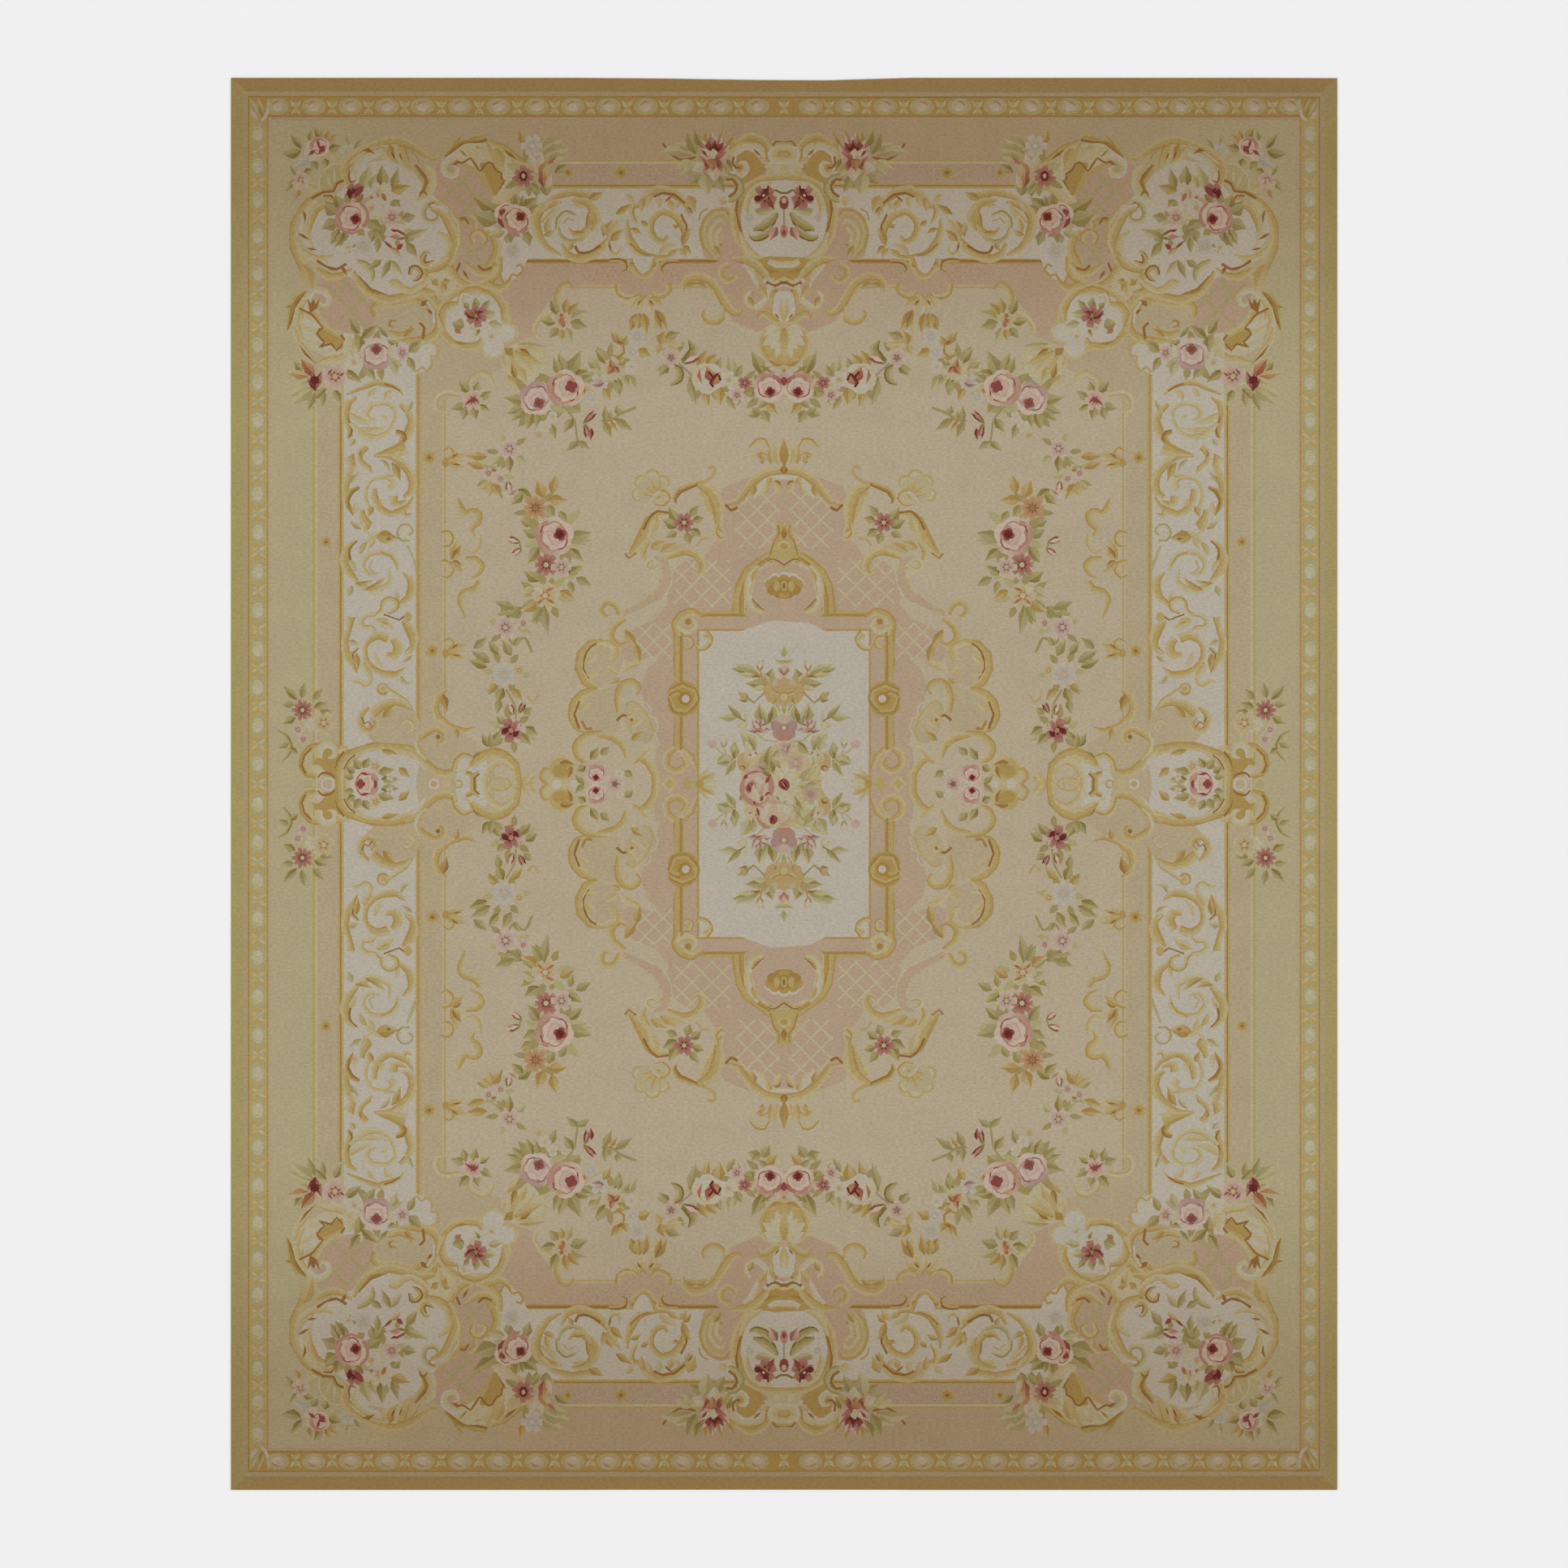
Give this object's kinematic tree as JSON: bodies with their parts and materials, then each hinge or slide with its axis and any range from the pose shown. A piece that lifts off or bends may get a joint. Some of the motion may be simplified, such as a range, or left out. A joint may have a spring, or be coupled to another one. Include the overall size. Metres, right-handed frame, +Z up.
{
  "type": "aubusson rug",
  "caption": "Oblong flat-woven wool rug with a floral centre panel, garlands, scroll bands and a bead border, lying flat.",
  "frame": {"origin": "centre of the rug's underside", "axes": "+Z up, out of the rug's face; +Y along the rug, towards the top of the picture; +X across it"},
  "size_m": [2.39, 3.05, 0.003],
  "materials": {
    "wool": "wool tapestry weave, matt"
  },
  "bodies": {
    "root": {"rug": "wool"}
  },
  "joints": []
}
